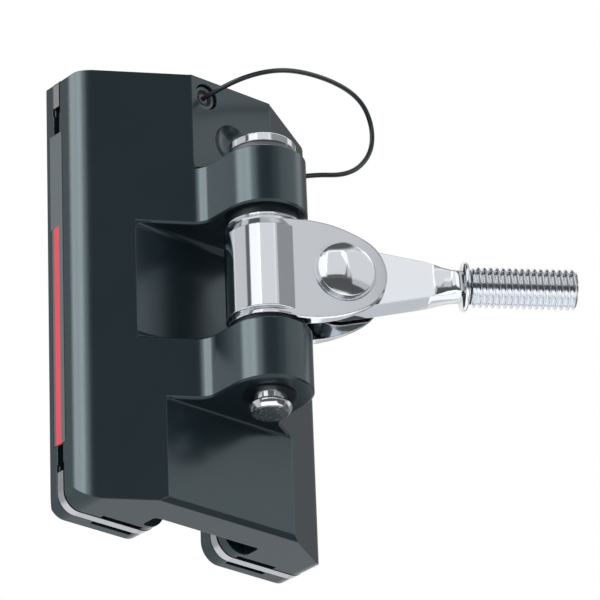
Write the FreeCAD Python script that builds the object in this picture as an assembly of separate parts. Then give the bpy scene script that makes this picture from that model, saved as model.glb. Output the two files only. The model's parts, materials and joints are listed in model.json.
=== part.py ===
import FreeCAD, Part
import math
import os

# Batten car, millimetres. Z runs up the mast track and X points away from the track.
# Pieces are drawn from the axis of the clevis pin, with the foot of the body at Z = 0.
# The finished part has its origin on the centre line of the track, at the body's mid height.
V = FreeCAD.Vector

# Extruded body
body_height = 112.5
half_width = 36.2
back_x = -37.7
back_chamfer = 0.9
face_x = -3.72
face_slope = 0.593
corner_radius = 8.4
crease_depth = 9.2
boss_radius = 10.4
flank_fillet = 5.5
end_radius_bottom = 4.5
end_radius_top = 1.2

# Track channel
web_depth = 13.6
channel_half = 15.6
channel_corner = 1.0
lip_depth = 8.7
mouth_half = 9.0
mouth_corner_bottom = 5.0
mouth_corner_top = 2.0

# Lug
lower_ear_thickness = 15.75
upper_ear_thickness = 15.2
top_cut_x = -10.8
pocket_x = -18.2
bottom_cut_x = -14.9
bottom_cut_chamfer = 1.1
pocket_fillet = 1.7
top_cut_fillet = 1.4
bottom_cut_fillet = 0.6
ear_chamfer = 0.45

# Ball races and strips
ball_radius = 2.5
race_clearance = 0.1
race_depth = 4.8
load_row_y = 10.7
return_row_y = 29.5
turn_inset = 0.8
ball_gap = 0.06
slot_width = 2.05
strip_width = 2.1
strip_thickness = 0.8
strip_groove_width = 2.7
strip_groove_depth = 0.7
strip_side_bottom = 9.4
strip_side_top = 7.1
strip_inner_rise = 6.5
turn_window_half = 5.8

# Label strips in the sides
label_depth = 4.5
label_width = 4.6
label_thickness = 0.5
label_recess = 0.4
label_bottom = 16.3
label_top_margin = 14.4

# Pin and bushes
pin_radius = 4.0
pin_neck_radius = 3.65
pin_below_ear = 1.8
pin_flare_radius = 5.1
pin_flare_length = 0.75
pin_lip_length = 0.75
pin_tip_length = 1.5
pin_end_radius = 4.1
head_radius = 8.1
head_play = 0.08
head_thickness = 2.65
head_edge = 0.5
bush_radius = 5.0
bore_clearance = 0.04
upper_flange_radius = 7.6
lower_flange_radius = 6.2
flange_thickness = 0.85
lower_flange_thickness = 0.3
head_washer_radius = 8.1
head_washer_thickness = 0.95
lower_washer_radius = 8.9
lower_washer_thickness = 1.35
upper_washer_radius = 8.6
upper_washer_thickness = 2.3
side_play = 0.05

# Toggle
toggle_angle = 57.5
barrel_radius = 9.7
barrel_edge = 0.4
barrel_rise = 0.45
barrel_overtop = 0.85
ring_radius = 9.3
ring_height = 0.55
groove_radius = 8.6
lower_shoulder = 1.55
crown_step = 0.25
upper_shoulder = 3.05
fork_centre_z = 55.85
fork_half_height = 12.95
fork_flat_length = 8.0
fork_side_radius = 30.0
fork_gap_half = 4.5
fork_gap_start = 8.8
fork_face_root = 8.75
fork_face_taper = 0.135
fork_edge = 0.3
fork_seat_gap = 0.4
rivet_distance = 17.8
rivet_radius = 4.0
rivet_head_radius = 6.9
rivet_head_wall = 0.9
rivet_head_height = 2.9
rivet_washer_radius = 7.5
rivet_washer_thickness = 0.45

# Stud arm
arm_half_thickness = 3.4
arm_eye_radius = 8.3
arm_root_half = 6.6
arm_root_distance = 27.5
arm_slope = 0.195
neck_radius = 4.15
neck_cone_start = 36.0
neck_cone_radius = 6.3
neck_ease_distance = 41.6
neck_ease_radius = 4.6
neck_distance = 43.8
collar_distance = 46.5
collar_thickness = 1.2
collar_radius = 6.0
collar_edge = 0.35
relief_length = 0.9
relief_radius = 4.2
thread_radius = 5.0
stud_end = 74.2
stud_chamfer = 0.7
bush_wall = 1.0

# Lanyard
hole_y = -7.8
hole_below_top = 4.7
hole_radius = 3.35
ferrule_radius = 2.95
ferrule_cup_radius = 2.2
ferrule_nose_radius = 1.25
ferrule_cup_depth = 1.0
ferrule_rim = 0.4
ferrule_collar_radius = 3.3
ferrule_collar_x = -16.0
ferrule_back_x = -23.6
ferrule_front_x = -12.0
anchor_y = 18.5
anchor_above_ear = 8.0
anchor_radius = 2.0
anchor_depth = 5.0
anchor_run = 7.0
wire_radius = 0.6
recess_above_ear = 9.8
recess_radius = 5.3
recess_sphere = 7.4
loop_rise = 12.1
loop_drop = 9.8
loop_lead = 9.0

# Heights and lengths that follow from the sizes above, from the toggle outwards
barrel_bottom = fork_centre_z - fork_half_height + barrel_rise
barrel_top = fork_centre_z + fork_half_height + barrel_overtop
lower_ear_top = barrel_bottom - side_play - lower_washer_thickness
lower_ear_bottom = lower_ear_top - lower_ear_thickness
upper_ear_bottom = barrel_top + side_play + upper_washer_thickness
upper_ear_top = upper_ear_bottom + upper_ear_thickness
crease_x = back_x + crease_depth
web_x = back_x + web_depth
lip_x = back_x + lip_depth
race_x = back_x + race_depth
label_x = back_x + label_depth
hole_z = body_height - hole_below_top
anchor_z = upper_ear_top + anchor_above_ear
recess_z = upper_ear_top + recess_above_ear
label_top = body_height - label_top_margin
head_bottom = upper_ear_top + flange_thickness + head_washer_thickness + head_play
head_top = head_bottom + head_thickness
beyond = body_height + 2 * half_width

os.makedirs("parts", exist_ok=True)


def save(shape, name):
    placed = shape.copy()
    placed.translate(V(-(lip_x + web_x) / 2, 0, -body_height / 2))
    placed.exportStep("parts/" + name + ".step")


def box(x0, x1, y0, y1, z0, z1):
    return Part.makeBox(x1 - x0, y1 - y0, z1 - z0, V(x0, y0, z0))


def rod(radius, z0, z1, x=0.0, y=0.0):
    return Part.makeCylinder(radius, z1 - z0, V(x, y, z0), V(0, 0, 1))


def ring(outer, inner, z0, z1):
    return rod(outer, z0, z1).cut(rod(inner, z0 - 1, z1 + 1))


def slab(points, axis, start, length):
    wire = Part.makePolygon(points + [points[0]])
    face = Part.Face(wire)
    face.translate(axis * start)
    return face.extrude(axis * length)


def closed_wire(curves):
    return Part.Wire(Part.sortEdges([curve.toShape() for curve in curves])[0])


def edges_at(shape, test):
    return [e for e in shape.Edges if test(e.CenterOfMass)]


def mirrored(shape):
    return shape.mirror(V(0, 0, 0), V(0, 1, 0))


def turned(shape):
    out = shape.copy()
    out.rotate(V(0, 0, 0), V(0, 0, 1), toggle_angle)
    return out


# Plan of the body: the slanted face and the arc that ends in a crease on the side
slant = math.atan(face_slope)
normal_x = math.cos(slant)
normal_y = math.sin(slant)


def corner_centre():
    line_x = face_x - corner_radius / normal_x
    slope = -face_slope
    a = slope * slope + 1
    b = 2 * (slope * (line_x - crease_x) - half_width)
    c = (line_x - crease_x) ** 2 + half_width ** 2 - corner_radius ** 2
    y = (-b - math.sqrt(b * b - 4 * a * c)) / (2 * a)
    return line_x + slope * y, y


corner_x, corner_y = corner_centre()
face_end_x = corner_x + corner_radius * normal_x
face_end_y = corner_y + corner_radius * normal_y
crease_angle = math.atan2(half_width - corner_y, crease_x - corner_x)
mid_angle = (slant + crease_angle) / 2
corner_mid_x = corner_x + corner_radius * math.cos(mid_angle)
corner_mid_y = corner_y + corner_radius * math.sin(mid_angle)

fillet_y = boss_radius + flank_fillet
fillet_x = (face_x * normal_x + flank_fillet - normal_y * fillet_y) / normal_x
fillet_end_x = fillet_x - flank_fillet * normal_x
fillet_end_y = fillet_y - flank_fillet * normal_y
fillet_mid = math.pi + (slant + math.pi / 2) / 2
fillet_mid_x = fillet_x + flank_fillet * math.cos(fillet_mid)
fillet_mid_y = fillet_y + flank_fillet * math.sin(fillet_mid)


def plan_half(sign):
    def p(x, y):
        return V(x, sign * y, 0)

    return [
        Part.LineSegment(p(0, boss_radius), p(fillet_x, boss_radius)),
        Part.Arc(p(fillet_x, boss_radius), p(fillet_mid_x, fillet_mid_y), p(fillet_end_x, fillet_end_y)),
        Part.LineSegment(p(fillet_end_x, fillet_end_y), p(face_end_x, face_end_y)),
        Part.Arc(p(face_end_x, face_end_y), p(corner_mid_x, corner_mid_y), p(crease_x, half_width)),
        Part.LineSegment(p(crease_x, half_width), p(back_x + back_chamfer, half_width)),
        Part.LineSegment(p(back_x + back_chamfer, half_width), p(back_x, half_width - back_chamfer)),
    ]


def blank_wire():
    nose = Part.Arc(V(0, -boss_radius, 0), V(boss_radius, 0, 0), V(0, boss_radius, 0))
    back_y = half_width - back_chamfer
    back = Part.LineSegment(V(back_x, back_y, 0), V(back_x, -back_y, 0))
    curves = plan_half(1) + [back] + plan_half(-1) + [nose]
    return closed_wire(curves)


def ear(z0, z1):
    prism = Part.Face(blank_wire()).extrude(V(0, 0, z1 - z0))
    prism.translate(V(0, 0, z0))
    rims = edges_at(prism, lambda c: abs(c.z - z0) < 0.01 or abs(c.z - z1) < 0.01)
    return prism.makeChamfer(ear_chamfer, rims)


def fillet_wedge(x0, z0, radius, z_sign):
    # Material left in the inner corner between a cut wall and an ear
    z_low, z_high = sorted((z0, z0 + z_sign * radius))
    wedge = box(x0 - radius, x0 + radius, -half_width, half_width, z_low, z_high)
    start = V(x0 + radius, -beyond, z0 + z_sign * radius)
    return wedge.cut(Part.makeCylinder(radius, 2 * beyond, start, V(0, 1, 0)))


blank = Part.Face(blank_wire()).extrude(V(0, 0, body_height))
upper_mid = (upper_ear_bottom + upper_ear_top) / 2
lower_mid = (lower_ear_bottom + lower_ear_top) / 2


def front_cut(x0, z0, z1):
    return box(x0, beyond, -beyond, beyond, z0, z1)


body_now = blank.cut(front_cut(top_cut_x, upper_mid, beyond))
body_now = body_now.cut(front_cut(pocket_x, lower_mid, upper_mid))
body_now = body_now.cut(front_cut(bottom_cut_x, -beyond, lower_mid))
chamfer_points = [
    V(bottom_cut_x - 2 * bottom_cut_chamfer, 0, -bottom_cut_chamfer),
    V(bottom_cut_x + bottom_cut_chamfer, 0, -bottom_cut_chamfer),
    V(bottom_cut_x + bottom_cut_chamfer, 0, 2 * bottom_cut_chamfer),
]
body_now = body_now.cut(slab(chamfer_points, V(0, 1, 0), -beyond, 2 * beyond))
in_front = front_cut(pocket_x - ear_chamfer, 0, body_height)
body_now = body_now.fuse(ear(lower_ear_bottom, lower_ear_top).common(in_front))
body_now = body_now.fuse(ear(upper_ear_bottom, upper_ear_top).common(in_front))
for wedge in (
    fillet_wedge(top_cut_x, upper_ear_top, top_cut_fillet, 1),
    fillet_wedge(pocket_x, upper_ear_bottom, pocket_fillet, -1),
    fillet_wedge(pocket_x, lower_ear_top, pocket_fillet, 1),
    fillet_wedge(bottom_cut_x, lower_ear_bottom, bottom_cut_fillet, -1),
):
    body_now = body_now.fuse(wedge.common(blank))
body_now = body_now.removeSplitter()


# Track channel with undercuts
def channel_tool():
    wide = box(lip_x, web_x, -channel_half, channel_half, -beyond, beyond)
    corners = edges_at(wide, lambda c: abs(abs(c.y) - channel_half) < 0.01 and abs(c.z) < 0.01)
    wide = wide.makeFillet(channel_corner, corners)
    mouth = box(-beyond, lip_x + channel_corner, -mouth_half, mouth_half, -beyond, beyond)
    return wide.fuse(mouth)


# Outer and inner corners of the leg ends, rounded about axes along X
def round_tool(y_edge, z_edge, radius, y_sign, z_sign):
    y_c = y_edge - y_sign * radius
    z_c = z_edge - z_sign * radius
    corner = box(
        back_x - radius, lip_x if y_sign < 0 else 0,
        min(y_c, y_edge + y_sign), max(y_c, y_edge + y_sign),
        min(z_c, z_edge + z_sign), max(z_c, z_edge + z_sign),
    )
    keep = Part.makeCylinder(radius, beyond, V(-beyond / 2, y_c, z_c), V(1, 0, 0))
    return corner.cut(keep)


leg_tools = [
    round_tool(half_width, 0, end_radius_bottom, 1, -1),
    round_tool(half_width, body_height, end_radius_top, 1, 1),
    round_tool(mouth_half, 0, mouth_corner_bottom, -1, -1),
    round_tool(mouth_half, body_height, mouth_corner_top, -1, 1),
]

# Races: loaded row, return row, and a half turn at each end
race_radius = ball_radius + race_clearance
turn_radius = (return_row_y - load_row_y) / 2
turn_y = (return_row_y + load_row_y) / 2
turn_z = turn_inset + race_radius + turn_radius


def half_turn(z_c, z_sign):
    axis = V(1, 0, 0)
    start = V(race_x - race_radius, turn_y, z_c)
    outer = Part.makeCylinder(turn_radius + race_radius, 2 * race_radius, start, axis)
    inner = Part.makeCylinder(turn_radius - race_radius, 2 * race_radius, start, axis)
    half = outer.cut(inner)
    z_low, z_high = sorted((z_c, z_c + z_sign * beyond))
    half = half.common(box(race_x - race_radius, race_x + race_radius, 0, half_width, z_low, z_high))
    reach = turn_radius + turn_inset
    z_low, z_high = sorted((z_c + z_sign * reach, z_c + z_sign * beyond))
    window = box(race_x - race_radius, race_x + race_radius,
                 turn_y - turn_window_half, turn_y + turn_window_half, z_low, z_high)
    return half.fuse(window)


race_tools = [
    rod(race_radius, turn_z, body_height - turn_z, race_x, load_row_y),
    rod(race_radius, turn_z, body_height - turn_z, race_x, return_row_y),
    half_turn(turn_z, -1),
    half_turn(body_height - turn_z, 1),
    box(race_x - slot_width / 2, race_x + slot_width / 2, return_row_y, half_width + 5,
        strip_side_bottom - 3, body_height - strip_side_top + 3),
]
label_pocket = box(label_x - label_width / 2, label_x + label_width / 2,
                   half_width - label_recess, half_width + 5, label_bottom, label_top)
race_tools.append(label_pocket)


# Ball strips: bent flat wire over each leg end, in a shallow groove
def strip_band(depth, thickness, z_top, radius_out, radius_in, side_run, width, rise):
    # Face in the YZ plane for the bottom end; z_top mirrors it for the top end
    y_side = half_width - depth
    y_in = mouth_half + depth
    z_low = depth
    ro = max(radius_out - depth, 0.3)
    ri = max(radius_in - depth, 0.3)
    to = max(ro - thickness, 0.1)
    ti = max(ri - thickness, 0.1)
    k = math.sqrt(0.5)

    def q(y, z):
        return V(0, y, z)

    outer = [
        Part.LineSegment(q(y_side, side_run), q(y_side, z_low + ro)),
        Part.Arc(q(y_side, z_low + ro), q(y_side - ro + ro * k, z_low + ro - ro * k), q(y_side - ro, z_low)),
        Part.LineSegment(q(y_side - ro, z_low), q(y_in + ri, z_low)),
        Part.Arc(q(y_in + ri, z_low), q(y_in + ri - ri * k, z_low + ri - ri * k), q(y_in, z_low + ri)),
        Part.LineSegment(q(y_in, z_low + ri), q(y_in, rise)),
        Part.LineSegment(q(y_in, rise), q(y_in + thickness, rise)),
        Part.LineSegment(q(y_in + thickness, rise), q(y_in + thickness, z_low + thickness + ti)),
        Part.Arc(q(y_in + thickness, z_low + thickness + ti),
                 q(y_in + thickness + ti - ti * k, z_low + thickness + ti - ti * k),
                 q(y_in + thickness + ti, z_low + thickness)),
        Part.LineSegment(q(y_in + thickness + ti, z_low + thickness),
                         q(y_side - thickness - to, z_low + thickness)),
        Part.Arc(q(y_side - thickness - to, z_low + thickness),
                 q(y_side - thickness - to + to * k, z_low + thickness + to - to * k),
                 q(y_side - thickness, z_low + thickness + to)),
        Part.LineSegment(q(y_side - thickness, z_low + thickness + to), q(y_side - thickness, side_run)),
        Part.LineSegment(q(y_side - thickness, side_run), q(y_side, side_run)),
    ]
    face = Part.Face(closed_wire(outer))
    face.translate(V(race_x - width / 2, 0, 0))
    band = face.extrude(V(width, 0, 0))
    if z_top:
        band = band.mirror(V(0, 0, body_height / 2), V(0, 0, 1))
    return band


strip_lift = strip_groove_depth - strip_thickness
strips = {
    "lower": strip_band(strip_lift, strip_thickness, False, end_radius_bottom, mouth_corner_bottom,
                        strip_side_bottom, strip_width, strip_inner_rise),
    "upper": strip_band(strip_lift, strip_thickness, True, end_radius_top, mouth_corner_top,
                        strip_side_top, strip_width, strip_inner_rise),
}
groove_deep = strip_groove_depth + 3
grooves = [
    strip_band(-3, groove_deep, False, end_radius_bottom, mouth_corner_bottom,
               strip_side_bottom + 2, strip_groove_width, strip_inner_rise + 2),
    strip_band(-3, groove_deep, True, end_radius_top, mouth_corner_top,
               strip_side_top + 2, strip_groove_width, strip_inner_rise + 2),
]

body_now = body_now.cut(channel_tool())
for tool in leg_tools + race_tools + grooves:
    body_now = body_now.cut(tool)
    body_now = body_now.cut(mirrored(tool))

# Bores for the bushes, lanyard hole, recess beside the pin head
body_now = body_now.cut(rod(bush_radius, 0, body_height))
lanyard_hole = Part.makeCylinder(hole_radius, beyond, V(lip_x, hole_y, hole_z), V(1, 0, 0))
body_now = body_now.cut(lanyard_hole)
anchor_axis = V(normal_x, normal_y, 0)
anchor_face = V(face_x - face_slope * anchor_y, anchor_y, anchor_z)
anchor_base = anchor_face - anchor_axis * anchor_depth
anchor_hole = Part.makeCylinder(anchor_radius, 2 * anchor_depth, anchor_base, anchor_axis)
body_now = body_now.cut(anchor_hole)
recess_depth = recess_sphere - math.sqrt(recess_sphere ** 2 - recess_radius ** 2)
recess = Part.makeSphere(recess_sphere, V(top_cut_x + recess_sphere - recess_depth, 0, recess_z))
body_now = body_now.cut(recess)
body_now = body_now.removeSplitter()
save(body_now, "car_body")


# Strips, labels and balls
def ball_places():
    # Balls stand evenly round the closed loop: up the loaded row, over, and down the return row
    straight = body_height - 2 * turn_z
    half_loop = math.pi * turn_radius
    loop_length = 2 * (straight + half_loop)
    count = int(loop_length / (2 * ball_radius + ball_gap))
    places = []
    for i in range(count):
        run = loop_length * i / count
        if run < straight:
            places.append(V(race_x, load_row_y, turn_z + run))
        elif run < straight + half_loop:
            turn = (run - straight) / turn_radius
            z = body_height - turn_z + turn_radius * math.sin(turn)
            places.append(V(race_x, turn_y - turn_radius * math.cos(turn), z))
        elif run < 2 * straight + half_loop:
            places.append(V(race_x, return_row_y, body_height - turn_z - (run - straight - half_loop)))
        else:
            turn = (run - 2 * straight - half_loop) / turn_radius
            z = turn_z - turn_radius * math.sin(turn)
            places.append(V(race_x, turn_y + turn_radius * math.cos(turn), z))
    return places


for side, flip in (("starboard", False), ("port", True)):
    for level, strip in strips.items():
        save(mirrored(strip) if flip else strip, side + "_" + level + "_strip")
    label_y = half_width - label_recess
    label = box(label_x - label_width / 2 + 0.05, label_x + label_width / 2 - 0.05,
                label_y, label_y + label_thickness, label_bottom + 0.05, label_top - 0.05)
    save(mirrored(label) if flip else label, side + "_label")
    loop = [Part.makeSphere(ball_radius, place) for place in ball_places()]
    save(Part.makeCompound([mirrored(ball) if flip else ball for ball in loop]), side + "_balls")


# Clevis pin with a disc head and a flared end
def revolved(points, origin, axis, reference):
    # points are (distance along axis, radius); the outline is closed along the axis
    path = [axis * points[0][0]]
    path += [axis * distance + reference * radius for distance, radius in points]
    path.append(axis * points[-1][0])
    face = Part.Face(Part.makePolygon(path + [path[0]]))
    solid = face.revolve(V(0, 0, 0), axis, 360)
    solid.translate(origin)
    return solid


def turned_profile(curves, low, high):
    # Curves in the XZ plane from the axis at low to the axis at high, turned about Z
    axis = Part.LineSegment(V(0, 0, high), V(0, 0, low))
    return Part.Face(closed_wire(curves + [axis])).revolve(V(0, 0, 0), V(0, 0, 1), 360)


def line(r0, z0, r1, z1):
    return Part.LineSegment(V(r0, 0, z0), V(r1, 0, z1))


def arc(r0, z0, r1, z1, r2, z2):
    return Part.Arc(V(r0, 0, z0), V(r1, 0, z1), V(r2, 0, z2))


flare_top = lower_ear_bottom - pin_below_ear
lip_top = flare_top - pin_flare_length
lip_bottom = lip_top - pin_lip_length
pin_end_z = lip_bottom - pin_tip_length
lip_low_radius = pin_flare_radius - (pin_flare_radius - pin_end_radius) * 0.08
tip_mid_radius = pin_end_radius + (pin_flare_radius - pin_end_radius) * 0.55
tip_mid_z = lip_bottom - pin_tip_length * 0.55
lip_mid_z = (lip_bottom + lip_top) / 2
pin_curves = [
    line(0, pin_end_z, pin_end_radius, pin_end_z),
    arc(pin_end_radius, pin_end_z, tip_mid_radius, tip_mid_z, lip_low_radius, lip_bottom),
    arc(lip_low_radius, lip_bottom, pin_flare_radius, lip_mid_z, lip_low_radius, lip_top),
    line(lip_low_radius, lip_top, pin_neck_radius, flare_top),
    line(pin_neck_radius, flare_top, pin_radius, lower_ear_bottom),
    line(pin_radius, lower_ear_bottom, pin_radius, head_bottom),
    line(pin_radius, head_bottom, head_radius - head_edge, head_bottom),
    line(head_radius - head_edge, head_bottom, head_radius, head_bottom + head_edge),
    line(head_radius, head_bottom + head_edge, head_radius, head_top - head_edge),
    line(head_radius, head_top - head_edge, head_radius - head_edge, head_top),
    line(head_radius - head_edge, head_top, 0, head_top),
]
save(turned_profile(pin_curves, pin_end_z, head_top), "clevis_pin")

bush_bore = pin_radius + bore_clearance
upper_bush = ring(bush_radius, bush_bore, upper_ear_bottom, upper_ear_top)
upper_flange_top = upper_ear_top + flange_thickness
upper_flange = ring(upper_flange_radius, bush_bore, upper_ear_top, upper_flange_top)
save(upper_bush.fuse(upper_flange).removeSplitter(), "upper_bush")
lower_bush = ring(bush_radius, bush_bore, lower_ear_bottom, lower_ear_top)
lower_flange_bottom = lower_ear_bottom - lower_flange_thickness
lower_flange = ring(lower_flange_radius, bush_bore, lower_flange_bottom, lower_ear_bottom)
save(lower_bush.fuse(lower_flange).removeSplitter(), "lower_bush")
washer_z = upper_flange_top + 0.02
save(ring(head_washer_radius, bush_bore, washer_z, washer_z + head_washer_thickness), "head_washer")
save(ring(lower_washer_radius, bush_bore, lower_ear_top, barrel_bottom - side_play), "lower_thrust_washer")
save(ring(upper_washer_radius, bush_bore, barrel_top + side_play, upper_ear_bottom), "upper_thrust_washer")


# Toggle: barrel and fork, drawn along X and turned to its angle at the end
def fork_outline():
    a_x = fork_flat_length
    a_z = fork_half_height - fork_side_radius
    span = math.hypot(rivet_distance - a_x, a_z)
    tip_radius = fork_side_radius - span
    ux = (rivet_distance - a_x) / span
    uz = -a_z / span
    tx = a_x + fork_side_radius * ux
    tz = a_z + fork_side_radius * uz
    mid = (math.pi / 2 + math.atan2(uz, ux)) / 2
    mx = a_x + fork_side_radius * math.cos(mid)
    mz = a_z + fork_side_radius * math.sin(mid)
    end = rivet_distance + tip_radius
    zc = fork_centre_z

    def q(x, z):
        return V(x, 0, zc + z)

    return [
        Part.LineSegment(q(0, -fork_half_height), q(a_x, -fork_half_height)),
        Part.Arc(q(a_x, -fork_half_height), q(mx, -mz), q(tx, -tz)),
        Part.Arc(q(tx, -tz), q(end, 0), q(tx, tz)),
        Part.Arc(q(tx, tz), q(mx, mz), q(a_x, fork_half_height)),
        Part.LineSegment(q(a_x, fork_half_height), q(0, fork_half_height)),
        Part.LineSegment(q(0, fork_half_height), q(0, -fork_half_height)),
    ]


def fork_width(x):
    return fork_face_root - fork_face_taper * x


def barrel_solid():
    # From the foot: a thin ring, a groove, the plain barrel, a crown that narrows, and a second ring
    ring_top = barrel_bottom + ring_height
    plain_low = barrel_bottom + lower_shoulder
    plain_high = barrel_top - upper_shoulder
    ring_low = barrel_top - ring_height
    k = math.sqrt(0.5)
    crown = barrel_radius - crown_step
    edge_start = barrel_radius - barrel_edge
    edge_r = edge_start + barrel_edge * k
    edge_end = plain_low + barrel_edge
    curves = [
        line(0, barrel_bottom, ring_radius, barrel_bottom),
        line(ring_radius, barrel_bottom, ring_radius, ring_top),
        line(ring_radius, ring_top, groove_radius, ring_top),
        line(groove_radius, ring_top, groove_radius, plain_low),
        line(groove_radius, plain_low, edge_start, plain_low),
        arc(edge_start, plain_low, edge_r, edge_end - barrel_edge * k, barrel_radius, edge_end),
        line(barrel_radius, edge_end, barrel_radius, plain_high),
        line(barrel_radius, plain_high, crown, plain_high),
        line(crown, plain_high, groove_radius, ring_low),
        line(groove_radius, ring_low, ring_radius, ring_low),
        line(ring_radius, ring_low, ring_radius, barrel_top),
        line(ring_radius, barrel_top, 0, barrel_top),
    ]
    return turned_profile(curves, barrel_bottom, barrel_top)


def cross_rod(radius, half_length):
    # A cylinder along the rivet's axis
    start = V(rivet_distance, -half_length, fork_centre_z)
    return Part.makeCylinder(radius, 2 * half_length, start, V(0, 1, 0))


def fork_solid():
    face = Part.Face(closed_wire(fork_outline()))
    face.translate(V(0, -2 * fork_face_root, 0))
    cheeks = face.extrude(V(0, 4 * fork_face_root, 0))
    far = 2 * (rivet_distance + fork_half_height)
    wedge = [
        V(0, -fork_width(0), 0),
        V(far, -fork_width(far), 0),
        V(far, fork_width(far), 0),
        V(0, fork_width(0), 0),
    ]
    cheeks = cheeks.common(slab(wedge, V(0, 0, 1), 0, body_height))
    rim = []
    for e in cheeks.Edges:
        c = e.CenterOfMass
        if abs(abs(c.y) - fork_width(c.x)) < 0.35 and c.x > 1.0 and e.Length > 5:
            rim.append(e)
    cheeks = cheeks.makeChamfer(fork_edge, rim)
    cheeks = cheeks.cut(rod(ring_radius + fork_seat_gap, 0, barrel_bottom))
    gap = box(fork_gap_start, beyond, -fork_gap_half, fork_gap_half, 0, body_height)
    whole = barrel_solid().fuse(cheeks).cut(gap)
    whole = whole.cut(rod(pin_radius + side_play, 0, body_height))
    return whole.cut(cross_rod(rivet_radius, beyond)).removeSplitter()


save(turned(fork_solid()), "toggle_fork")

# Rivet with two button heads on washers, square to the tapered faces
taper = math.atan(fork_face_taper)
face_y = fork_width(rivet_distance)


def on_cheek(sign, build):
    axis = V(math.sin(taper), sign * math.cos(taper), 0)
    return build(V(rivet_distance, sign * face_y, fork_centre_z), axis)


def build_head(origin, axis):
    # Button head: a short wall, then a spherical cap
    rise = rivet_head_height - rivet_head_wall
    sphere = (rivet_head_radius ** 2 + rise ** 2) / (2 * rise)
    start = rivet_washer_thickness
    blank_head = Part.makeCylinder(rivet_head_radius, rivet_head_height, origin + axis * start, axis)
    centre = origin + axis * (start + rivet_head_height - sphere)
    return blank_head.common(Part.makeSphere(sphere, centre))


def build_washer(origin, axis):
    outer = Part.makeCylinder(rivet_washer_radius, rivet_washer_thickness, origin, axis)
    # The washer's own bore is along the rivet
    return outer.cut(cross_rod(rivet_radius, beyond))


rivet = cross_rod(rivet_radius, face_y + rivet_washer_thickness + rivet_head_wall)
for sign, name in ((-1, "rivet_washer_front"), (1, "rivet_washer_back")):
    save(turned(on_cheek(sign, build_washer)), name)
    rivet = rivet.fuse(on_cheek(sign, build_head))
save(turned(rivet.removeSplitter()), "toggle_rivet")


# Stud arm: flat tongue that turns into a round neck, collar and stud
def arm_half(x):
    return arm_root_half - arm_slope * (x - arm_root_distance)


def arm_solid():
    zc = fork_centre_z
    wide = arm_eye_radius
    x1 = arm_root_distance - arm_half_thickness
    x2 = collar_distance
    pts = [
        V(rivet_distance, 0, zc - arm_eye_radius),
        V(x1, 0, zc - arm_half(x1)),
        V(x2, 0, zc - arm_half(x2)),
        V(x2, 0, zc + arm_half(x2)),
        V(x1, 0, zc + arm_half(x1)),
        V(rivet_distance, 0, zc + arm_eye_radius),
    ]
    tongue = slab(pts, V(0, 1, 0), -arm_half_thickness, 2 * arm_half_thickness)
    turned_neck = revolved(
        [(rivet_distance - wide, 2 * wide), (neck_cone_start - wide / 2, 2 * wide),
         (neck_cone_start, neck_cone_radius),
         (neck_ease_distance, neck_ease_radius), (neck_distance, neck_radius), (x2, neck_radius)],
        V(0, 0, zc), V(1, 0, 0), V(0, 0, 1))
    arm = tongue.common(turned_neck).fuse(cross_rod(arm_eye_radius, arm_half_thickness))
    end = [
        (collar_distance - collar_thickness / 2, neck_radius / 2),
        (collar_distance, neck_radius / 2),
        (collar_distance, collar_radius - collar_edge),
        (collar_distance + collar_edge, collar_radius),
        (collar_distance + collar_thickness - collar_edge, collar_radius),
        (collar_distance + collar_thickness, collar_radius - collar_edge),
        (collar_distance + collar_thickness, relief_radius),
        (collar_distance + collar_thickness + relief_length, relief_radius),
        (collar_distance + collar_thickness + relief_length, thread_radius - stud_chamfer),
        (collar_distance + collar_thickness + relief_length + stud_chamfer, thread_radius),
        (stud_end - stud_chamfer, thread_radius),
        (stud_end, thread_radius - stud_chamfer),
    ]
    arm = arm.fuse(revolved(end, V(0, 0, zc), V(1, 0, 0), V(0, 0, 1)))
    return arm.cut(cross_rod(rivet_radius + bush_wall, beyond)).removeSplitter()


save(turned(arm_solid()), "stud_arm")
arm_bush = cross_rod(rivet_radius + bush_wall, fork_gap_half - side_play)
save(turned(arm_bush.cut(cross_rod(rivet_radius + side_play, beyond))), "arm_bush")


# Lanyard: a springy coated wire from the ferrule in the wall to a plug behind the upper ear
def ferrule_part(radius, x0, x1):
    return Part.makeCylinder(radius, x1 - x0, V(x0, hole_y, hole_z), V(1, 0, 0))


rim_x = ferrule_front_x + ferrule_rim
cup_x = ferrule_front_x - ferrule_cup_depth
ferrule = ferrule_part(ferrule_radius, ferrule_collar_x, rim_x)
ferrule = ferrule.cut(ferrule_part(ferrule_cup_radius, cup_x, rim_x + ferrule_rim))
ferrule = ferrule.fuse(ferrule_part(ferrule_nose_radius, ferrule_collar_x, ferrule_front_x))
ferrule = ferrule.fuse(ferrule_part(ferrule_collar_radius, ferrule_back_x, ferrule_collar_x))
save(ferrule.removeSplitter(), "lanyard_ferrule")
plug = Part.makeCylinder(anchor_radius - 0.02, anchor_depth, anchor_base, anchor_axis)
save(plug, "lanyard_plug")

wire_points = [
    V(ferrule_front_x, hole_y, hole_z),
    V(ferrule_front_x + loop_lead, hole_y, hole_z),
    V(2.6, -1.2, hole_z + 3.2),
    V(1.1, 10.6, hole_z + 0.686 * loop_rise),
    V(-1.9, 25.9, hole_z + 0.95 * loop_rise),
    V(-5.9, 38.0, hole_z + loop_rise),
    V(-8.4, 43.6, hole_z + 0.595 * loop_rise),
    V(-8.9, 42.9, hole_z - 0.6),
    V(-7.0, 34.0, hole_z - loop_drop),
    anchor_face + anchor_axis * anchor_run,
    anchor_face,
]


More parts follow.
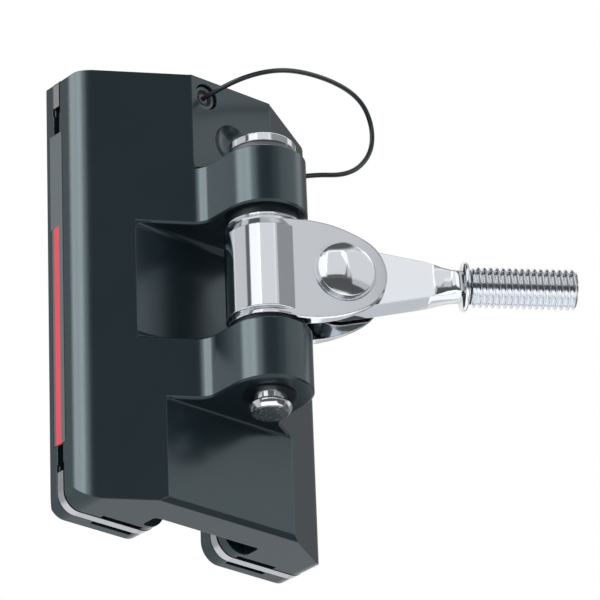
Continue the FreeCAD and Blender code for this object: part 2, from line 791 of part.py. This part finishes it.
def wire_path(points):
    edges = []
    start = points[0]
    smallest = 1000.0
    for i in range(1, len(points) - 1):
        before = points[i - 1] - points[i]
        after = points[i + 1] - points[i]
        u = V(before).normalize()
        w = V(after).normalize()
        half_turn_angle = (math.pi - u.getAngle(w)) / 2
        trim = 0.45 * min(before.Length, after.Length)
        radius = trim / math.tan(half_turn_angle)
        smallest = min(smallest, radius)
        bisector = (u + w).normalize()
        sagitta = radius / math.cos(half_turn_angle) - radius
        a = points[i] + u * trim
        b = points[i] + w * trim
        edges.append(Part.LineSegment(start, a).toShape())
        edges.append(Part.Arc(a, points[i] + bisector * sagitta, b).toShape())
        start = b
        print("bend", i, "radius", round(radius, 2))
    edges.append(Part.LineSegment(start, points[-1]).toShape())
    print("smallest radius", round(smallest, 2))
    return Part.Wire(edges)


def tube(points, radius):
    path = wire_path(points)
    along = (points[1] - points[0]).normalize()
    section = Part.Wire(Part.makeCircle(radius, points[0], along))
    solid = path.makePipeShell([section], True, False)
    straight_volume = math.pi * radius ** 2 * path.Length
    print("length", round(path.Length, 2), "volume ratio", round(solid.Volume / straight_volume, 4))
    return solid


save(tube(wire_points, wire_radius), "lanyard")
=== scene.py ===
import json
import math

import bmesh
import bpy
from mathutils import Matrix, Vector

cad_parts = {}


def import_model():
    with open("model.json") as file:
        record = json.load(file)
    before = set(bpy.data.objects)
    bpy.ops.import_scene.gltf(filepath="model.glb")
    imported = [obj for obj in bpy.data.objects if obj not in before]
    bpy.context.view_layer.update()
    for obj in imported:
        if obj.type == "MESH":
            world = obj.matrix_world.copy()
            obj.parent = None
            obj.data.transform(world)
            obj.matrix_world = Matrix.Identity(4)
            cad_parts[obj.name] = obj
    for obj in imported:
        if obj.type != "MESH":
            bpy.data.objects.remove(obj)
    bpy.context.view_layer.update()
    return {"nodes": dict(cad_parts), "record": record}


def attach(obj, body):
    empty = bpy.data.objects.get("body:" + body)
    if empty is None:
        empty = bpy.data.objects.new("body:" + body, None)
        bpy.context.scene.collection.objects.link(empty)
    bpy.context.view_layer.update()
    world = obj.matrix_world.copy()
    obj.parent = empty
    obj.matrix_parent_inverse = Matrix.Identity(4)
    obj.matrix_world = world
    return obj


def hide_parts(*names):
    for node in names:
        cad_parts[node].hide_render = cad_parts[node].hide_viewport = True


# Batten car on its track mount, metres. Z runs up the track, X away from it.
# The drawing's zero, on the pin's axis at the body's foot, lies here in the part's frame.
MM = 0.001
DRAWING_ZERO = Vector((26.55, 0.0, -56.25)) * MM

# The photograph's camera, solved from straight and round edges, in the drawing's frame
CAMERA_PLACE = Vector((0.72314, -0.61597, -0.42540))
CAMERA_RIGHT = Vector((0.64126, 0.76657, -0.03410))
CAMERA_UP = Vector((0.36343, -0.26429, 0.89335))
CAMERA_LENS = 272.0
SENSOR_WIDTH = 36.0

# Toggle and stud, from the drawing
TOGGLE_ANGLE = math.radians(57.5)
FORK_CENTRE_Z = 55.85 * MM
THREAD_START = 48.6 * MM
THREAD_END = 73.8 * MM
THREAD_RADIUS = 4.97 * MM
THREAD_ROOT = 4.12 * MM
THREAD_PITCH = 1.5 * MM
THREAD_CHAMFER = 0.7 * MM
THREAD_SIDES = 72
THREAD_ROWS_PER_TURN = 16
THREAD_SHARP_ANGLE = math.radians(24)
CUT_DISTANCE = 48.1 * MM
SHARP_ANGLE = math.radians(30)
WELD_DISTANCE = 1e-7

# Pin end and label print, from the drawing
PIN_END_Z = 21.4 * MM
PIN_END_MARKS = 0.3 * MM
STRIPE_SPAN = (-34.15 * MM, -32.3 * MM)
LINE_SPAN = (-35.5 * MM, -34.95 * MM)
PRINT_TOP = 73.0 * MM

# Colours
ANODISED_COLOUR = (0.0055, 0.0112, 0.0142, 1.0)
ANODISED_GLEAM = (0.77, 0.95, 1.0, 1.0)
PLASTIC_GLEAM = (0.85, 0.95, 1.0, 1.0)
STEEL_COLOUR = (0.715, 0.74, 0.775, 1.0)
DULL_STEEL_COLOUR = (0.2, 0.22, 0.23, 1.0)
SATIN_COLOUR = (0.45, 0.46, 0.47, 1.0)
ACETAL_COLOUR = (0.006, 0.008, 0.01, 1.0)
GREY_COLOUR = (0.075, 0.08, 0.085, 1.0)
BALL_COLOUR = (0.03, 0.03, 0.035, 1.0)
COAT_COLOUR = (0.012, 0.014, 0.016, 1.0)
FILM_COLOUR = (0.11, 0.13, 0.135, 1.0)
STRIPE_COLOUR = (0.72, 0.06, 0.09, 1.0)
LINE_COLOUR = (0.01, 0.02, 0.04, 1.0)
FLOOR_COLOUR = (0.77, 0.8, 0.82, 1.0)
WHITE = (1.0, 1.0, 1.0, 1.0)

# Floor, a metre below the part. It ends in front of the camera's line of sight.
FLOOR_HEIGHT = -1.05
FLOOR_HALF = 3.0
FLOOR_FRONT = 0.3

# The white tent round the object and the cards that hang in it: turn from and to, rise from
# and to, border softness, all in degrees, and level. A later card covers an earlier one.
WHITE_LEVEL = 1.0
TENT_LEVEL = 1.0
AMBIENT_LEVEL = 0.85
TENT_CARDS = [
    (-181, 181, -91, -60, 8, 0.3),
    (45, 100, -60, -5, 6, 0.12),
    (-90, 45, -32, 3, 3, 0.1),
    (-181, -85, -20, 70, 2, 0.7),
    (-181, -146, -20, 70, 5, 0.12),
    (-90, -54, 3, 62, 2, 1.3),
    (-95.5, -83.5, -20, 70, 1.5, 0.15),
    (-54, 60, 0, 61, 3, 0.35),
    (-54, -14, 0, 61, 2, 0.12),
    (85, 125, -15, 60, 8, 0.25),
    (-110, -58, 50, 91, 4, 0.12),
    (-90, 70, 65, 91, 5, 0.12),
    (-181, 181, 74, 91, 4, 0.12),
]

# Softboxes a metre away: turn and rise in degrees, width, height, glow and the pieces lit
LAMPS = [
    ("port_box", -90, 22, 0.65, 1.1, 3.1, "black"),
    ("label_box", -90, 22, 0.65, 1.1, 1.9, "label"),
    ("front_box", 40, 22, 1.2, 0.9, 0.48, "black"),
    ("low_box", -20, -10, 1.0, 0.25, 3.0, "black"),
    ("steel_card", -34, 34, 0.73, 1.1, 0.75, "steel"),
    ("cheek_card", -8.7, 32, 0.1, 1.15, 0.39, "steel"),
    ("table_card", 0, -90, 3.4, 3.4, 0.6, "low_steel"),
    ("arm_card", -29, 34, 0.55, 1.1, 0.17, "arm"),
    ("neck_card", 22, 30, 1.0, 1.15, 0.55, "arm"),
    ("rivet_card", 26, 24, 1.2, 1.45, 0.5, "rivet"),
    ("pin_card", -45, -41, 1.6, 0.6, 1.2, "pin"),
]

# Lanyard route, millimetres in the drawing's frame
WIRE_ROUTE = [
    (-12.0, -7.8, 107.8),
    (-3.0, -7.8, 107.8),
    (2.6, -1.2, 111.0),
    (1.1, 10.6, 116.1),
    (-1.9, 25.9, 119.3),
    (-5.9, 38.0, 119.9),
    (-8.4, 43.6, 115.0),
    (-8.9, 42.9, 107.2),
    (-7.0, 34.0, 98.0),
    (-8.67, 22.071, 95.2),
    (-14.69, 18.5, 95.2),
]
WIRE_DIAMETER = 1.2 * MM
WIRE_POINT_RADIUS = 0.0001


def drawn(x, y, z):
    return Vector((x, y, z)) * MM + DRAWING_ZERO


def along_stud(distance, side=0.0, up=0.0):
    # A point by its distance from the pin's axis along the stud, in metres
    c = math.cos(TOGGLE_ANGLE)
    s = math.sin(TOGGLE_ANGLE)
    place = Vector((distance * c - side * s, distance * s + side * c, FORK_CENTRE_Z + up))
    return place + DRAWING_ZERO


# Materials
def new_material(name):
    material = bpy.data.materials.new(name)
    material.use_nodes = True
    nodes = material.node_tree.nodes
    shader = nodes["Principled BSDF"]
    return material, nodes, material.node_tree.links, shader


def noise(nodes, links, scale, detail=4.0, roughness=0.5):
    place = nodes.new("ShaderNodeTexCoord")
    texture = nodes.new("ShaderNodeTexNoise")
    texture.inputs["Scale"].default_value = scale
    texture.inputs["Detail"].default_value = detail
    texture.inputs["Roughness"].default_value = roughness
    links.new(place.outputs["Object"], texture.inputs["Vector"])
    return texture


def ranged(nodes, links, source, low, high):
    span = nodes.new("ShaderNodeMapRange")
    span.inputs["To Min"].default_value = low
    span.inputs["To Max"].default_value = high
    links.new(source, span.inputs["Value"])
    return span.outputs["Result"]


def bumped(nodes, links, height, strength, distance, normal=None):
    bump = nodes.new("ShaderNodeBump")
    bump.inputs["Strength"].default_value = strength
    bump.inputs["Distance"].default_value = distance
    links.new(height, bump.inputs["Height"])
    if normal is not None:
        links.new(normal, bump.inputs["Normal"])
    return bump.outputs["Normal"]


def soft_edges(nodes, radius):
    bevel = nodes.new("ShaderNodeBevel")
    bevel.samples = 6
    bevel.inputs["Radius"].default_value = radius
    return bevel.outputs["Normal"]


def maths(nodes, links, operation, first, second=None):
    # Each term is a number or another node's output
    node = nodes.new("ShaderNodeMath")
    node.operation = operation
    for socket, value in zip(node.inputs, (first, second)):
        if isinstance(value, (int, float)):
            socket.default_value = value
        elif value is not None:
            links.new(value, socket)
    return node.outputs["Value"]


def between(nodes, links, source, low, high):
    # One where the source lies between low and high, zero elsewhere
    above = maths(nodes, links, "GREATER_THAN", source, low)
    below = maths(nodes, links, "LESS_THAN", source, high)
    return maths(nodes, links, "MULTIPLY", above, below)


def mixed_colour(nodes, links, factor, first, second, before=None):
    # Sockets 6 and 7 take the colours, and output 2 gives one; before stands in for the first
    mix = nodes.new("ShaderNodeMix")
    mix.data_type = "RGBA"
    links.new(factor, mix.inputs["Factor"])
    mix.inputs[6].default_value = first
    if before is not None:
        links.new(before, mix.inputs[6])
    mix.inputs[7].default_value = second
    return mix.outputs[2]


def anodised():
    material, nodes, links, shader = new_material("black_anodised")
    grain = noise(nodes, links, 2600.0, 3.0)
    cloud = noise(nodes, links, 60.0, 4.0)
    shader.inputs["Base Color"].default_value = ANODISED_COLOUR
    shader.inputs["IOR"].default_value = 1.8
    shader.inputs["Specular Tint"].default_value = ANODISED_GLEAM
    links.new(ranged(nodes, links, cloud.outputs["Fac"], 0.21, 0.27), shader.inputs["Roughness"])
    edge = soft_edges(nodes, 0.25 * MM)
    links.new(bumped(nodes, links, grain.outputs["Fac"], 0.12, 0.02 * MM, edge), shader.inputs["Normal"])
    return material


def polished(name, colour, rough_low, rough_high, edge_radius):
    material, nodes, links, shader = new_material(name)
    cloud = noise(nodes, links, 180.0, 5.0)
    waves = noise(nodes, links, 45.0, 2.0)
    shader.inputs["Base Color"].default_value = colour
    shader.inputs["Metallic"].default_value = 1.0
    links.new(ranged(nodes, links, cloud.outputs["Fac"], rough_low, rough_high), shader.inputs["Roughness"])
    edge = soft_edges(nodes, edge_radius)
    links.new(bumped(nodes, links, waves.outputs["Fac"], 0.1, 0.2 * MM, edge), shader.inputs["Normal"])
    return material


def plastic(name, colour, rough_low, rough_high, gloss=0.5):
    material, nodes, links, shader = new_material(name)
    grain = noise(nodes, links, 900.0, 4.0)
    shader.inputs["Base Color"].default_value = colour
    shader.inputs["Specular IOR Level"].default_value = gloss
    shader.inputs["Specular Tint"].default_value = PLASTIC_GLEAM
    links.new(ranged(nodes, links, grain.outputs["Fac"], rough_low, rough_high), shader.inputs["Roughness"])
    edge = soft_edges(nodes, 0.12 * MM)
    links.new(bumped(nodes, links, grain.outputs["Fac"], 0.1, 0.03 * MM, edge), shader.inputs["Normal"])
    return material


def label_film():
    # Grey film with one printed stripe and a thin dark line beside it, both along Z
    material, nodes, links, shader = new_material("label_film")
    grain = noise(nodes, links, 900.0, 4.0)
    place = nodes.new("ShaderNodeTexCoord")
    axes = nodes.new("ShaderNodeSeparateXYZ")
    links.new(place.outputs["Object"], axes.inputs["Vector"])
    tall = maths(nodes, links, "LESS_THAN", axes.outputs["Z"], DRAWING_ZERO.z + PRINT_TOP)
    colour = None
    for (left, right), ink in ((STRIPE_SPAN, STRIPE_COLOUR), (LINE_SPAN, LINE_COLOUR)):
        wide = between(nodes, links, axes.outputs["X"], DRAWING_ZERO.x + left, DRAWING_ZERO.x + right)
        printed = maths(nodes, links, "MULTIPLY", wide, tall)
        colour = mixed_colour(nodes, links, printed, FILM_COLOUR, ink, colour)
    links.new(colour, shader.inputs["Base Color"])
    links.new(ranged(nodes, links, grain.outputs["Fac"], 0.3, 0.4), shader.inputs["Roughness"])
    edge = soft_edges(nodes, 0.12 * MM)
    links.new(bumped(nodes, links, grain.outputs["Fac"], 0.1, 0.03 * MM, edge), shader.inputs["Normal"])
    return material


def turned_steel():
    # Polished like the rest, but the pin's end face keeps its marks from the lathe and the vice
    material = polished("turned_stainless", STEEL_COLOUR, 0.05, 0.12, 0.2 * MM)
    nodes = material.node_tree.nodes
    links = material.node_tree.links
    shader = nodes["Principled BSDF"]
    place = nodes.new("ShaderNodeTexCoord")
    axes = nodes.new("ShaderNodeSeparateXYZ")
    links.new(place.outputs["Object"], axes.inputs["Vector"])
    end = maths(nodes, links, "LESS_THAN", axes.outputs["Z"], DRAWING_ZERO.z + PIN_END_Z + PIN_END_MARKS)
    marks = noise(nodes, links, 1400.0, 3.0, 0.7)
    rough = nodes.new("ShaderNodeMix")
    links.new(end, rough.inputs["Factor"])
    links.new(shader.inputs["Roughness"].links[0].from_socket, rough.inputs["A"])
    links.new(ranged(nodes, links, marks.outputs["Fac"], 0.2, 0.5), rough.inputs["B"])
    links.new(rough.outputs["Result"], shader.inputs["Roughness"])
    bright = maths(nodes, links, "GREATER_THAN", marks.outputs["Fac"], 0.6)
    dull = maths(nodes, links, "MULTIPLY", end, maths(nodes, links, "SUBTRACT", 1.0, bright))
    tone = mixed_colour(nodes, links, dull, STEEL_COLOUR, DULL_STEEL_COLOUR)
    links.new(tone, shader.inputs["Base Color"])
    dents = maths(nodes, links, "MULTIPLY", end, marks.outputs["Fac"])
    polish = shader.inputs["Normal"].links[0].from_socket
    links.new(bumped(nodes, links, dents, 0.6, 0.2 * MM, polish), shader.inputs["Normal"])
    return material


# Pieces made here
def mesh_object(name, mesh):
    thing = bpy.data.objects.new(name, mesh)
    bpy.context.scene.collection.objects.link(thing)
    return thing


def smooth(mesh, angle=SHARP_ANGLE):
    for polygon in mesh.polygons:
        polygon.use_smooth = True
    mesh.set_sharp_from_angle(angle=angle)


def lanyard_curve():
    curve = bpy.data.curves.new("lanyard_wire", "CURVE")
    curve.dimensions = "3D"
    spline = curve.splines.new("NURBS")
    spline.points.add(len(WIRE_ROUTE) - 1)
    # A curve's box grows by the radius of its points, one metre unless it is set, so that is
    # small here and the bevel makes up for it
    for point, place in zip(spline.points, WIRE_ROUTE):
        point.co = (*drawn(*place), 1.0)
        point.radius = WIRE_POINT_RADIUS
    spline.order_u = 3
    spline.use_endpoint_u = True
    curve.resolution_u = 24
    curve.bevel_depth = WIRE_DIAMETER / 2 / WIRE_POINT_RADIUS
    curve.bevel_resolution = 8
    curve.use_fill_caps = True
    thing = bpy.data.objects.new("lanyard_wire", curve)
    bpy.context.scene.collection.objects.link(thing)
    return thing


def thread_radius_at(phase):
    # Rolled thread: rounded crests and roots
    depth = THREAD_RADIUS - THREAD_ROOT
    return THREAD_ROOT + depth * (0.5 + 0.5 * math.cos(2 * math.pi * phase))


def stud_thread():
    # One row of points climbs a pitch in a turn, and rows follow one another along the stud
    around = THREAD_SIDES
    per_turn = THREAD_ROWS_PER_TURN
    turns = (THREAD_END - THREAD_START) / THREAD_PITCH
    rows = int(math.ceil((turns + 1) * per_turn)) + 1
    mesh = bmesh.new()
    grid = []
    for j in range(-per_turn, rows):
        line = []
        for i in range(around):
            reach = THREAD_START + THREAD_PITCH * (j / per_turn + i / around)
            reach = min(max(reach, THREAD_START), THREAD_END)
            radius = thread_radius_at((j / per_turn) % 1.0)
            end_limit = THREAD_RADIUS - THREAD_CHAMFER + min(reach - THREAD_START, THREAD_END - reach)
            radius = min(radius, end_limit)
            turn = 2 * math.pi * i / around
            line.append(mesh.verts.new(along_stud(reach, -radius * math.sin(turn), radius * math.cos(turn))))
        grid.append(line)
    count = len(grid)
    for j in range(count - 1):
        for i in range(around - 1):
            mesh.faces.new((grid[j][i], grid[j][i + 1], grid[j + 1][i + 1], grid[j + 1][i]))
    for j in range(count - 1 - per_turn):
        last = around - 1
        mesh.faces.new((grid[j][last], grid[j + per_turn][0], grid[j + per_turn + 1][0], grid[j + 1][last]))
    bmesh.ops.remove_doubles(mesh, verts=mesh.verts, dist=WELD_DISTANCE)
    bmesh.ops.dissolve_degenerate(mesh, edges=mesh.edges, dist=WELD_DISTANCE)
    rims = [edge for edge in mesh.edges if edge.is_boundary]
    bmesh.ops.holes_fill(mesh, edges=rims, sides=0)
    bmesh.ops.recalc_face_normals(mesh, faces=mesh.faces)
    data = bpy.data.meshes.new("stud_thread")
    mesh.to_mesh(data)
    mesh.free()
    smooth(data, THREAD_SHARP_ANGLE)
    return mesh_object("stud_thread", data)


def arm_without_stud(node):
    # A copy of the arm, cut off where the thread takes over
    mesh = bmesh.new()
    mesh.from_mesh(node.data)
    bmesh.ops.remove_doubles(mesh, verts=mesh.verts, dist=WELD_DISTANCE)
    axis = Vector((math.cos(TOGGLE_ANGLE), math.sin(TOGGLE_ANGLE), 0))
    geometry = mesh.verts[:] + mesh.edges[:] + mesh.faces[:]
    bmesh.ops.bisect_plane(mesh, geom=geometry, plane_co=along_stud(CUT_DISTANCE), plane_no=axis,
                           clear_outer=True)
    rims = [edge for edge in mesh.edges if edge.is_boundary]
    bmesh.ops.holes_fill(mesh, edges=rims, sides=0)
    data = bpy.data.meshes.new("stud_arm_turned")
    mesh.to_mesh(data)
    mesh.free()
    smooth(data)
    return mesh_object("stud_arm_turned", data)


def camera():
    right = CAMERA_RIGHT.normalized()
    up = CAMERA_UP.normalized()
    back = right.cross(up)
    data = bpy.data.cameras.new("camera")
    data.lens = CAMERA_LENS
    data.sensor_width = SENSOR_WIDTH
    data.clip_start = 0.01
    data.clip_end = 20.0
    thing = bpy.data.objects.new("camera", data)
    frame_matrix = Matrix((right, up, back)).transposed().to_4x4()
    frame_matrix.translation = CAMERA_PLACE + DRAWING_ZERO
    thing.matrix_world = frame_matrix
    bpy.context.scene.collection.objects.link(thing)
    bpy.context.scene.camera = thing


def lamp(name, turn, rise, width, height, glow, lit):
    # A softbox a metre away; turn and rise give its direction in degrees, glow its brightness
    away = Vector((math.cos(math.radians(turn)) * math.cos(math.radians(rise)),
                   math.sin(math.radians(turn)) * math.cos(math.radians(rise)),
                   math.sin(math.radians(rise))))
    data = bpy.data.lights.new(name, "AREA")
    data.shape = "RECTANGLE"
    data.size = width
    data.size_y = height
    data.energy = glow * math.pi * width * height
    thing = bpy.data.objects.new(name, data)
    thing.location = away
    thing.rotation_euler = away.to_track_quat("Z", "Y").to_euler()
    thing.light_linking.receiver_collection = lit
    thing.visible_camera = False
    bpy.context.scene.collection.objects.link(thing)


def window(nodes, links, angle, low, high, soft):
    # One inside low to high degrees, zero outside, with soft borders
    sides = []
    for edge, sign in ((low, 1), (high, -1)):
        ramp = nodes.new("ShaderNodeMapRange")
        ramp.interpolation_type = "SMOOTHSTEP"
        ramp.inputs["From Min"].default_value = math.radians(edge - sign * soft)
        ramp.inputs["From Max"].default_value = math.radians(edge + sign * soft)
        links.new(angle, ramp.inputs["Value"])
        sides.append(ramp.outputs["Result"])
    return maths(nodes, links, "MULTIPLY", sides[0], sides[1])


def world():
    scene_world = bpy.data.worlds.new("studio")
    bpy.context.scene.world = scene_world
    scene_world.use_nodes = True
    nodes = scene_world.node_tree.nodes
    links = scene_world.node_tree.links
    place = nodes.new("ShaderNodeTexCoord")
    axes = nodes.new("ShaderNodeSeparateXYZ")
    links.new(place.outputs["Generated"], axes.inputs["Vector"])
    turn = maths(nodes, links, "ARCTAN2", axes.outputs["Y"], axes.outputs["X"])
    rise = maths(nodes, links, "ARCSINE", axes.outputs["Z"])
    level = None
    for low, high, bottom, top, soft, card_level in TENT_CARDS:
        sideways = window(nodes, links, turn, low, high, soft)
        upright = window(nodes, links, rise, bottom, top, soft)
        mix = nodes.new("ShaderNodeMix")
        links.new(maths(nodes, links, "MULTIPLY", sideways, upright), mix.inputs["Factor"])
        mix.inputs["A"].default_value = TENT_LEVEL
        if level is not None:
            links.new(level, mix.inputs["A"])
        mix.inputs["B"].default_value = card_level
        level = mix.outputs["Result"]
    # The camera sees plain white; metal and glass see the white tent with its cards
    path = nodes.new("ShaderNodeLightPath")
    shown = nodes.new("ShaderNodeMix")
    links.new(path.outputs["Is Camera Ray"], shown.inputs["Factor"])
    links.new(level, shown.inputs["A"])
    shown.inputs["B"].default_value = WHITE_LEVEL
    white = nodes.new("ShaderNodeBackground")
    white.inputs["Color"].default_value = WHITE
    links.new(shown.outputs["Result"], white.inputs["Strength"])
    base = nodes["Background"]
    base.inputs["Color"].default_value = WHITE
    base.inputs["Strength"].default_value = AMBIENT_LEVEL
    seen = maths(nodes, links, "MAXIMUM", path.outputs["Is Camera Ray"], path.outputs["Is Glossy Ray"])
    seen = maths(nodes, links, "MAXIMUM", seen, path.outputs["Is Transmission Ray"])
    mix = nodes.new("ShaderNodeMixShader")
    links.new(seen, mix.inputs["Fac"])
    links.new(base.outputs["Background"], mix.inputs[1])
    links.new(white.outputs["Background"], mix.inputs[2])
    links.new(mix.outputs["Shader"], nodes["World Output"].inputs["Surface"])


def floor():
    mesh = bmesh.new()
    outline = (
        (-FLOOR_HALF, -FLOOR_HALF),
        (FLOOR_FRONT, -FLOOR_HALF),
        (FLOOR_FRONT, FLOOR_HALF),
        (-FLOOR_HALF, FLOOR_HALF),
    )
    mesh.faces.new([mesh.verts.new((x, y, FLOOR_HEIGHT)) for x, y in outline])
    data = bpy.data.meshes.new("floor")
    mesh.to_mesh(data)
    mesh.free()
    thing = mesh_object("floor", data)
    material, nodes, links, shader = new_material("floor_pale")
    shader.inputs["Base Color"].default_value = FLOOR_COLOUR
    shader.inputs["Roughness"].default_value = 0.8
    thing.data.materials.append(material)


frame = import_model()
bpy.context.scene.view_settings.view_transform = "Standard"
camera()

wire = lanyard_curve()
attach(wire, "car")
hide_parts("lanyard")

nodes_by_name = frame["nodes"]
thread = stud_thread()
arm = arm_without_stud(nodes_by_name["stud_arm"])
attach(thread, "arm")
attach(arm, "arm")
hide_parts("stud_arm")
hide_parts("stud_arm")

black = anodised()
steel = polished("polished_stainless", STEEL_COLOUR, 0.05, 0.12, 0.3 * MM)
acetal = plastic("black_acetal", ACETAL_COLOUR, 0.35, 0.45, 0.2)
grey = plastic("grey_acetal", GREY_COLOUR, 0.35, 0.45)
film = label_film()
ball = plastic("ball_plastic", BALL_COLOUR, 0.12, 0.2)
coat = plastic("coated_wire", COAT_COLOUR, 0.25, 0.35, 0.4)
finishes = {
    "black_anodised": black,
    "polished_stainless": steel,
    "black_acetal": acetal,
    "grey_acetal": grey,
    "label_film": film,
    "ball_plastic": ball,
    "coated_wire": coat,
}
satin = polished("satin_stainless", SATIN_COLOUR, 0.2, 0.3, 0.15 * MM)
own_finishes = {"clevis_pin": turned_steel()}
for side in ("port", "starboard"):
    own_finishes[side + "_lower_strip"] = satin
    own_finishes[side + "_upper_strip"] = satin
for entry in frame["record"]["subparts"]:
    node = nodes_by_name[entry["node"]]
    finish = own_finishes.get(entry["node"], finishes[entry["material_slot"]])
    node.data.materials.clear()
    node.data.materials.append(finish)
for piece in (thread, arm):
    piece.data.materials.clear()
    piece.data.materials.append(steel)
wire.data.materials.append(coat)

floor()
world()
steel_pieces = [thread, arm]
black_pieces = [wire]
labels = []
pieces_by_slot = {"polished_stainless": steel_pieces, "label_film": labels}
for entry in frame["record"]["subparts"]:
    group = pieces_by_slot.get(entry["material_slot"], black_pieces)
    group.append(nodes_by_name[entry["node"]])
pin = nodes_by_name["clevis_pin"]
lit_pieces = {
    "black": black_pieces,
    "label": labels,
    "steel": steel_pieces,
    "low_steel": [piece for piece in steel_pieces if piece is not pin],
    "arm": [arm],
    "rivet": [nodes_by_name["toggle_rivet"]],
    "pin": [pin],
}
lit = {}
for group, pieces in lit_pieces.items():
    lit[group] = bpy.data.collections.new(group + "_parts")
    for piece in pieces:
        lit[group].objects.link(piece)
for name, turn, rise, width, height, glow, group in LAMPS:
    lamp(name, turn, rise, width, height, glow, lit[group])
